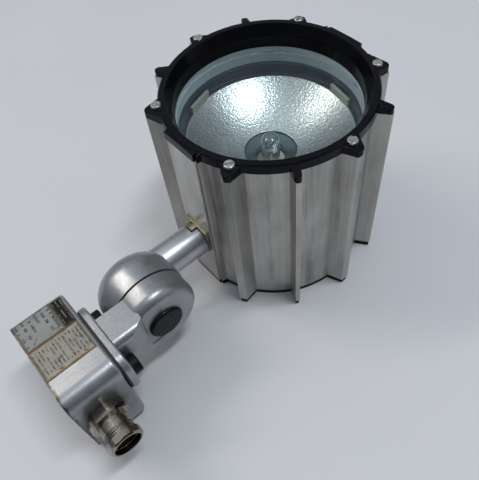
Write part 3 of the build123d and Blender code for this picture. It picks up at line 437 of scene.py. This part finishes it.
# fasteners and springs
brushed("steel_screws", ((0.46, 0.45, 0.43), (0.62, 0.61, 0.58)), (900, 900, 900), (0.26, 0.42),
        dirt=(0.10, 0.08, 0.06), dirt_amount=0.6)
brushed("spring_steel", ((0.34, 0.34, 0.34), (0.46, 0.46, 0.46)), (700, 900, 700))
plain("black_screws", ((0.004, 0.004, 0.005), (0.009, 0.009, 0.011)), (0.34, 0.50),
      Specular_IOR_Level=0.12)
brushed("gland_nickel", ((0.22, 0.19, 0.155), (0.40, 0.355, 0.30)), (160, 1500, 160), (0.12, 0.20),
        streak=0.15, dirt=(0.045, 0.03, 0.022), dirt_amount=0.85, bump=0.02)
plain("earth_brass", ((0.55, 0.42, 0.18), (0.72, 0.58, 0.30)), (0.25, 0.4), 1.0)
# enamel, plastic and rubber
gloss_black("bezel_black")
gloss_black("cover_black", (0.28, 0.42))
plain("cap_plastic", ((0.004, 0.004, 0.006), (0.009, 0.009, 0.012)), (0.22, 0.32), bump=0.06,
      Specular_IOR_Level=0.15)
plain("terminal_plastic", ((0.55, 0.54, 0.49), (0.68, 0.67, 0.62)), (0.40, 0.55))
plain("friction_fibre", ((0.16, 0.12, 0.08), (0.26, 0.20, 0.14)), (0.7, 0.9))
plain("seal_rubber", ((0.012, 0.012, 0.012), (0.028, 0.028, 0.028)), (0.55, 0.75))
plain("seal_grey", ((0.56, 0.63, 0.68), (0.66, 0.73, 0.77)), (0.5, 0.65), crevice=0.2)
# inside the head
plain("spacer_grey", ((0.54, 0.61, 0.65), (0.64, 0.70, 0.74)), (0.35, 0.5), crevice=0.2)
plain("ring_blue", ((0.035, 0.052, 0.085), (0.06, 0.082, 0.125)), (0.28, 0.42), 0.3)
reflector()
plain("clip_cream", ((0.42, 0.43, 0.36), (0.58, 0.58, 0.48)), (0.35, 0.5), 0.3)
plain("collar_teal", ((0.10, 0.145, 0.175), (0.18, 0.24, 0.28)), (0.14, 0.24), 0.8)
plain("lamp_ceramic", ((0.62, 0.60, 0.55), (0.76, 0.74, 0.69)), (0.45, 0.6))
plain("lead_fabric", ((0.55, 0.53, 0.48), (0.70, 0.68, 0.62)), (0.7, 0.85), grain=2500, bump=0.5)
brushed("filament_metal", ((0.50, 0.50, 0.50), (0.70, 0.70, 0.69)), (3000, 3000, 3000), (0.15, 0.25))
clear("bulb_glass", (0.95, 0.96, 0.97), (0.03, 0.10), gloss=4.0)
clear("front_glass", (0.93, 0.965, 0.96), (0.0, 0.03), rim=((0.56, 0.64, 0.69), (0.68, 0.76, 0.80)))
# printed leaves
label("label_grey", ((0.22, 0.225, 0.222), (0.31, 0.312, 0.305)), (0.02, 0.02, 0.02), 6, 3,
      ((0.6, 21.6), (7.0, 26.5)), fill=0.52, bold=0.9, word=0.75, tape=(1.2, 0.0))
label("label_black", ((0.006, 0.006, 0.007), (0.013, 0.013, 0.014)), (0.30, 0.30, 0.29), 3, 8,
      ((21.6, 28.0), (7.0, 25.5)), fill=0.6, bold=0.55, word=0.9, sheen=0.12)
label("label_cream", ((0.25, 0.235, 0.19), (0.38, 0.36, 0.30)), (0.045, 0.04, 0.035), 15, 5,
      ((0.6, 28.0), (-12.3, 7.0)), fill=0.74, bold=1.0, word=0.36, tape=(2.2, 1.5))

slot_of = {part["node"]: part["material_slot"] for part in frame["record"]["subparts"]}
for node, obj in frame["nodes"].items():
    obj.data.materials.clear()
    obj.data.materials.append(MATERIALS[slot_of[node]])


# ------------------------------------------------------------------ finer pieces
BOWL_FOCUS, BOWL_RIM_R, BOWL_NECK_R, BOWL_RIM_DEPTH = 31.0, 46.0, 15.0, 31.0
BOWL_T = 0.8
FLANGE_R, FLANGE_T = 47.6, 0.25
PEBBLE, PEBBLE_HEIGHT = 1.1, 0.16      # width and height of the reflector's pebbles
PEBBLE_LEVEL = 0.45                    # share of a pebble's height that stands above the bowl
BOWL_RINGS, BOWL_SEGMENTS = 84, 700    # about three faces to a pebble

COIL_REACH, COIL_DEPTH, COIL_R, COIL_TURNS = 2.6, 42.0, 0.75, 11
WIRE_R = 0.17
SHOULDER_DROP = 1.4                    # the supports turn into the coil this far below it
FOOT_DEPTH = 53.8                      # where the supports end in the capsule's base
FOIL_HALF, FOIL_LIFT = (1.5, 0.12, 2.4), 0.3


def add_piece(name, node, verts, faces):
    """A smooth mesh, given in millimetres, that stands for a CAD node on the head."""
    mesh = bpy.data.meshes.new(name)
    mesh.from_pydata([(x * MM, y * MM, z * MM) for x, y, z in verts], [], faces)
    mesh.materials.append(MATERIALS[slot_of[node]])
    mesh.polygons.foreach_set("use_smooth", [True] * len(mesh.polygons))
    obj = bpy.data.objects.new(name, mesh)
    scene.collection.objects.link(obj)
    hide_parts(node)
    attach(obj, "head")


def bowl_depth(radius):
    """Depth of the parabola below the top of the bezel."""
    return BOWL_RIM_DEPTH + (BOWL_RIM_R ** 2 - radius ** 2) / (4 * BOWL_FOCUS)


def pebble_relief(point):
    """How far a point of the bowl stands out: rounded cells with creases between them."""
    nearest = noise.voronoi(point / PEBBLE)[0][0]
    return PEBBLE_HEIGHT * (PEBBLE_LEVEL - nearest)


def reflector_profile():
    """Closed outline of the bowl as (radius, depth, pebbled), from the neck up and back down."""
    outline = []
    for i in range(BOWL_RINGS + 1):
        radius = BOWL_NECK_R + (BOWL_RIM_R - BOWL_NECK_R) * i / BOWL_RINGS
        outline.append((radius, bowl_depth(radius), 1 < i < BOWL_RINGS - 1))
    outline += [(FLANGE_R, BOWL_RIM_DEPTH, False), (FLANGE_R, BOWL_RIM_DEPTH + FLANGE_T, False)]
    outline += [(radius, bowl_depth(radius) + BOWL_T, False)
                for radius in (BOWL_RIM_R, 38.0, 30.5, 23.0, BOWL_NECK_R)]
    return outline


def pebbled_reflector():
    """The reflector with its hammered inner face as real relief."""
    outline = reflector_profile()
    verts, faces = [], []
    for radius, depth, pebbled in outline:
        slope = radius / (2 * BOWL_FOCUS)
        length = math.hypot(1.0, slope)
        for k in range(BOWL_SEGMENTS):
            angle = 2 * math.pi * k / BOWL_SEGMENTS
            c, s = math.cos(angle), math.sin(angle)
            point = Vector((HEAD_X + radius * c, HEAD_Y + radius * s, HEAD_TOP - depth))
            if pebbled:
                point += Vector((-slope * c, -slope * s, 1.0)) / length * pebble_relief(point)
            verts.append(point)
    for i in range(len(outline)):
        ring, next_ring = i * BOWL_SEGMENTS, (i + 1) % len(outline) * BOWL_SEGMENTS
        for k in range(BOWL_SEGMENTS):
            next_k = (k + 1) % BOWL_SEGMENTS
            faces.append((ring + k, next_ring + k, next_ring + next_k, ring + next_k))
    add_piece("reflector_pebbled", "reflector", verts, faces)


def wire(path, radius, sides=8):
    """Verts and faces of a closed tube along a path of points."""
    verts, faces = [], []
    side = Vector((0.31, 0.87, 0.38))
    for i, point in enumerate(path):
        ahead = (path[min(i + 1, len(path) - 1)] - path[max(i - 1, 0)]).normalized()
        side = (side - ahead * ahead.dot(side)).normalized()
        up = ahead.cross(side)
        for k in range(sides):
            angle = 2 * math.pi * k / sides
            verts.append(point + radius * (math.cos(angle) * side + math.sin(angle) * up))
    for i in range(len(path) - 1):
        for k in range(sides):
            a, b = i * sides + k, i * sides + (k + 1) % sides
            faces.append((a, b, b + sides, a + sides))
    faces.append(tuple(reversed(range(sides))))
    faces.append(tuple(range((len(path) - 1) * sides, len(path) * sides)))
    return verts, faces


def box(centre, half):
    """Verts and faces of a box."""
    verts = [centre + Vector((a * half[0], b * half[1], c * half[2]))
             for a in (-1, 1) for b in (-1, 1) for c in (-1, 1)]
    return verts, [(0, 1, 3, 2), (4, 6, 7, 5), (0, 4, 5, 1), (2, 3, 7, 6), (0, 2, 6, 4), (1, 5, 7, 3)]


def filament():
    """A wound coil between two support wires that end in flat foils at the capsule's pinch."""
    steps = 14
    top, foot = HEAD_TOP - COIL_DEPTH, HEAD_TOP - FOOT_DEPTH
    shoulder = top - SHOULDER_DROP
    path = [Vector((HEAD_X - COIL_REACH, HEAD_Y, z)) for z in (foot, shoulder)]
    for k in range(COIL_TURNS * steps + 1):
        angle = 2 * math.pi * k / steps
        along = -COIL_REACH + 2 * COIL_REACH * k / (COIL_TURNS * steps)
        path.append(Vector((HEAD_X + along, HEAD_Y + COIL_R * math.sin(angle),
                            top + COIL_R * math.cos(angle))))
    path += [Vector((HEAD_X + COIL_REACH, HEAD_Y, z)) for z in (shoulder, foot)]
    verts, faces = wire(path, WIRE_R)
    for side in (-1, 1):
        centre = Vector((HEAD_X + side * COIL_REACH, HEAD_Y, foot + FOIL_HALF[2] + FOIL_LIFT))
        foil_verts, foil_faces = box(centre, FOIL_HALF)
        faces += [tuple(len(verts) + n for n in face) for face in foil_faces]
        verts += foil_verts
    add_piece("filament_coil", "bulb_filament", verts, faces)


# ------------------------------------------------------------------ floor, camera and light
FLOOR_HALF = 3.0

CAMERA_AT = Vector((0.0226091, -0.1526609, 0.2647226))
CAMERA_RIGHT = Vector((0.7553425, -0.6502014, -0.0818280))
CAMERA_UP = Vector((0.5669970, 0.5858047, 0.5790918))
CAMERA_BACK = Vector((-0.3285910, -0.4838089, 0.8111454))

LIGHT_CENTRE = Vector((0.12, 0.0, 0.02))
SKY_TINT = (0.84, 0.91, 1.0)
SKY_LEVELS = ((0.0, 0.08), (0.35, 0.16), (0.78, 0.34), (1.0, 0.60))    # height, brightness
SKY_BY_DEPTH = (0.30, 2.0)    # strength behind the camera and beyond the object


def place(obj, right, up, back, at):
    """Link an object whose own axes point right, up and back."""
    scene.collection.objects.link(obj)
    obj.matrix_world = Matrix(((right.x, up.x, back.x, at.x), (right.y, up.y, back.y, at.y),
                               (right.z, up.z, back.z, at.z), (0, 0, 0, 1)))


def floor():
    """A plain pale table top, very slightly cloudy."""
    g = Graph("floor", Specular_IOR_Level=0.35)
    cloud = g.noise(6, 4)
    g.set("Base Color", g.ramp(cloud, (0.3, (0.705, 0.715, 0.735)), (0.7, (0.73, 0.74, 0.76))))
    g.set("Roughness", g.range(cloud, 0.3, 0.7, 0.55, 0.65))
    mesh = bpy.data.meshes.new("floor")
    corners = ((-1, -1), (1, -1), (1, 1), (-1, 1))
    mesh.from_pydata([(x * FLOOR_HALF, y * FLOOR_HALF, FLOOR_Z) for x, y in corners], [], [(0, 1, 2, 3)])
    mesh.materials.append(g.material)
    obj = bpy.data.objects.new("floor", mesh)
    scene.collection.objects.link(obj)


def camera():
    """The photograph's viewpoint, solved from the bezel's circles, the fins and the box's edges."""
    data = bpy.data.cameras.new("camera")
    data.sensor_width, data.sensor_fit, data.lens = 36.0, "HORIZONTAL", 40.931
    data.clip_start, data.clip_end = 0.005, 20.0
    obj = bpy.data.objects.new("camera", data)
    place(obj, CAMERA_RIGHT, CAMERA_UP, CAMERA_BACK, CAMERA_AT)
    scene.camera = obj


def area(name, direction, distance, size, watts, colour, along=(1, 0, 0)):
    """A rectangular lamp aimed at the object, its long side lying along a direction."""
    data = bpy.data.lights.new(name, "AREA")
    data.shape = "RECTANGLE"
    data.size, data.size_y = size
    data.energy, data.color = watts, colour
    back = Vector(direction).normalized()
    side = Vector(along)
    side = (side - back * back.dot(side)).normalized()
    obj = bpy.data.objects.new(name, data)
    place(obj, side, back.cross(side), back, LIGHT_CENTRE + distance * back)


def room():
    """A pale room: light ceiling, darker walls, darkest behind the camera."""
    world = bpy.data.worlds.new("room")
    scene.world = world
    world.use_nodes = True
    nodes, links = world.node_tree.nodes, world.node_tree.links
    split = nodes.new("ShaderNodeSeparateXYZ")
    links.new(nodes.new("ShaderNodeTexCoord").outputs["Generated"], split.inputs[0])
    height = nodes.new("ShaderNodeValToRGB")
    links.new(split.outputs["Z"], height.inputs[0])
    stops = height.color_ramp.elements
    while len(stops) < len(SKY_LEVELS):
        stops.new(0.5)
    for stop, (at, level) in zip(stops, SKY_LEVELS):
        stop.position = at
        stop.color = (*(level * c for c in SKY_TINT), 1.0)
    depth = nodes.new("ShaderNodeMapRange")
    links.new(split.outputs["Y"], depth.inputs["Value"])
    for key, value in zip(("From Min", "From Max", "To Min", "To Max"), (-1.0, 1.0, *SKY_BY_DEPTH)):
        depth.inputs[key].default_value = value
    links.new(height.outputs[0], nodes["Background"].inputs["Color"])
    links.new(depth.outputs[0], nodes["Background"].inputs["Strength"])


def light():
    """Two strips that streak the reflector and the tube, and a wide fill, over the room's light."""
    room()
    area("lamp_warm", (-0.36, 0.54, 0.73), 1.3, (0.75, 0.13), 3.8, (1.0, 0.93, 0.84),
         along=(0.5, -0.05, 0.3))
    area("lamp_cool", (0.17, -0.23, 0.95), 1.3, (0.42, 0.13), 5.4, (0.92, 0.96, 1.0))
    area("fill", (0.55, -0.65, 0.50), 1.6, (1.3, 0.9), 1.6, (0.95, 0.98, 1.0))


pebbled_reflector()
filament()
floor()
camera()
light()
scene.view_settings.view_transform = "Standard"
